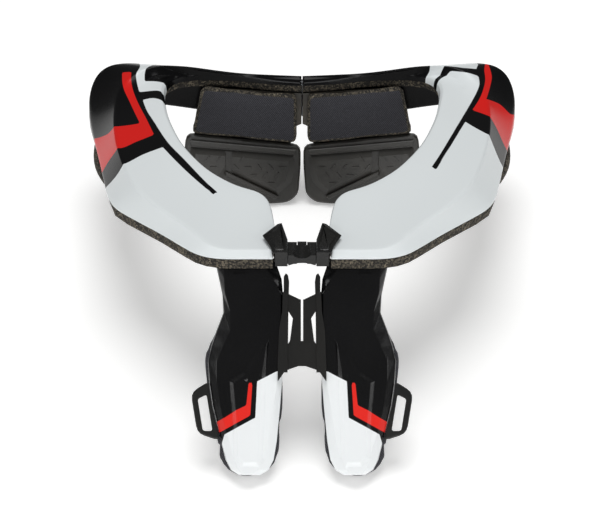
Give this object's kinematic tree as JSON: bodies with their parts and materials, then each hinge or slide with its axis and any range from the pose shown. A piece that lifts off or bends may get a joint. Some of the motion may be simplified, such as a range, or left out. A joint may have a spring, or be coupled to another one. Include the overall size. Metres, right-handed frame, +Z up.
{
  "type": "motocross neck brace",
  "caption": "Neck brace for off-road riding: hinged two-part collar with front latch, chest struts, rear pads and shoulder blade wings.",
  "frame": {"origin": "centre of the bounding box at floor level, with the brace resting on the tips of its chest pads and the feet of its wings", "axes": "+X to the wearer's left, +Y to the wearer's back, +Z up from the floor"},
  "size_m": [0.3138, 0.3364, 0.1162],
  "materials": {
    "collar_paint": "gloss white moulded shell with black and red colour blocks",
    "strut_plastic": "satin black moulded strut with white and red colour blocks",
    "foam": "moulded EVA foam",
    "cover": "dark grey knitted pad cover",
    "wing_rubber": "moulded satin rubber",
    "soft_plastic": "black flexible moulded plastic",
    "steel": "plain steel hinge"
  },
  "bodies": {
    "left_half": {"collar_shell_left": "collar_paint", "collar_foam_left": "foam", "rear_foam_left": "foam", "shoulder_pad_left": "foam", "chest_strut_left": "strut_plastic", "chest_pad_left": "cover", "strap_loop_left": "soft_plastic", "latch_base_left": "soft_plastic", "rear_plate_left": "soft_plastic", "rear_pad_left": "cover", "scapula_wing_left": "wing_rubber", "hinge_leaf_left": "steel", "chest_bridge": "soft_plastic", "hinge_pin": "steel"},
    "right_half": {"collar_shell_right": "collar_paint", "collar_foam_right": "foam", "rear_foam_right": "foam", "shoulder_pad_right": "foam", "chest_strut_right": "strut_plastic", "chest_pad_right": "cover", "strap_loop_right": "soft_plastic", "latch_base_right": "soft_plastic", "rear_plate_right": "soft_plastic", "rear_pad_right": "cover", "scapula_wing_right": "wing_rubber", "hinge_leaf_right": "steel"},
    "lock": {"lock_slider": "soft_plastic"}
  },
  "joints": [
    {"name": "rear_hinge", "type": "hinge", "parent": "left_half", "child": "right_half", "pos_m": [0, 0.16182, 0.06286], "axis": [0, -0.1511, -0.9885], "range_deg": [0, 50]},
    {"name": "lock_slide", "type": "slide", "parent": "left_half", "child": "lock", "axis": [0, 0.0347, 0.9994], "range_m": [0, 0.008]}
  ]
}
